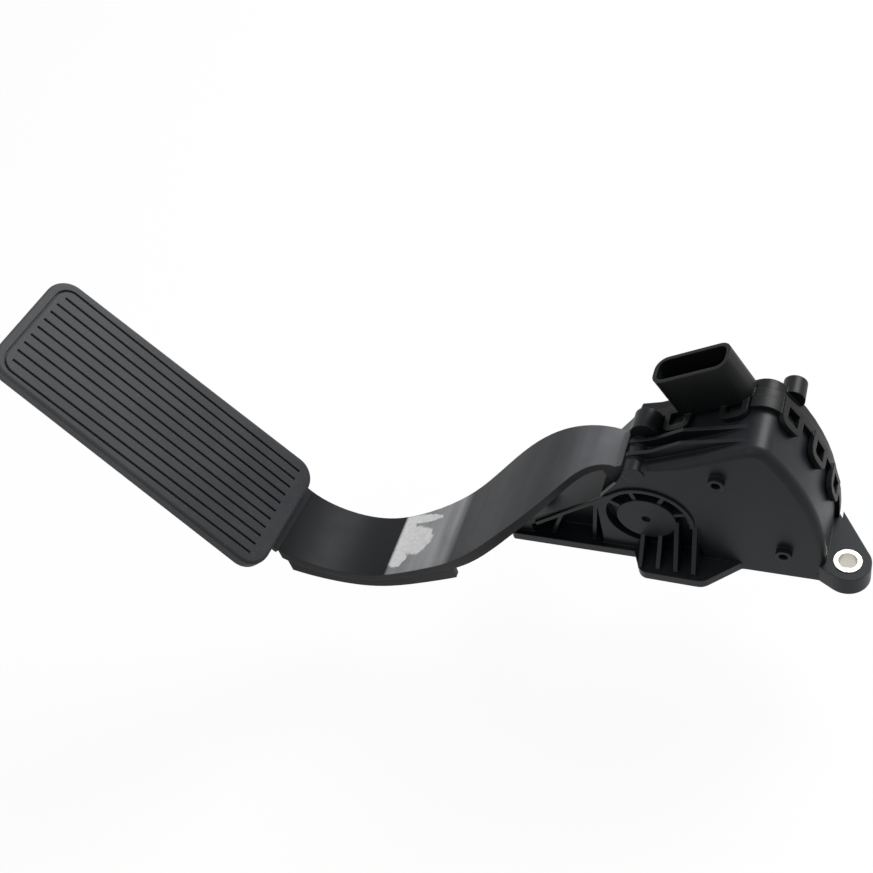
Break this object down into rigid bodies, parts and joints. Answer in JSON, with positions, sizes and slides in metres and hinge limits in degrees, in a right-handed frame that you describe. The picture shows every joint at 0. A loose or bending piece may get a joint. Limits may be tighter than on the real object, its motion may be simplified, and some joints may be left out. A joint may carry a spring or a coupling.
{
  "type": "accelerator pedal sensor",
  "caption": "Accelerator pedal module: ribbed pad on an S-curved arm, hinged in a sensor housing with a clipped cover, plug socket and steel-sleeved fixing lugs.",
  "frame": {"origin": "on the mounting face, straight under the pivot axis", "axes": "+X along the module to the single side lug, +Y along the pivot axis to the sensor cover, +Z out of the mounting face to the driver"},
  "size_m": [0.3065, 0.1067, 0.1351],
  "materials": {
    "black_plastic": "fine moulded grain",
    "tread_rubber": "matt",
    "seal_rubber": "matt",
    "zinc_steel": "turned and plated",
    "spring_steel": "drawn wire",
    "white_acetal": "smooth",
    "board_green": "solder mask",
    "chip_black": "moulded",
    "ceramic_tan": "fired",
    "tin_brass": "plated",
    "copper": "etched foil"
  },
  "bodies": {
    "base": {"housing": "black_plastic", "sensor_cover": "black_plastic", "cover_seal": "seal_rubber", "circuit_board": "board_green", "sensor_chips": "chip_black", "capacitors": "ceramic_tan", "terminal_pins": "tin_brass", "near_bush": "white_acetal", "far_bush": "white_acetal", "outer_spring": "spring_steel", "inner_spring": "spring_steel", "travel_buffer": "seal_rubber", "mount_sleeves": "zinc_steel"},
    "pedal": {"pedal_arm": "black_plastic", "pedal_pad": "tread_rubber", "pivot_shaft": "zinc_steel", "rotor": "white_acetal", "rotor_loop": "copper", "friction_shoe": "white_acetal"}
  },
  "joints": [
    {"name": "pedal_pivot", "type": "hinge", "parent": "base", "child": "pedal", "pos_m": [0, 0, 0.0243], "axis": [0, -1, 0], "range_deg": [0, 14], "stiffness_Nm_per_rad": 14, "springref_deg": -14.32, "deforming": ["outer_spring", "inner_spring"]}
  ]
}
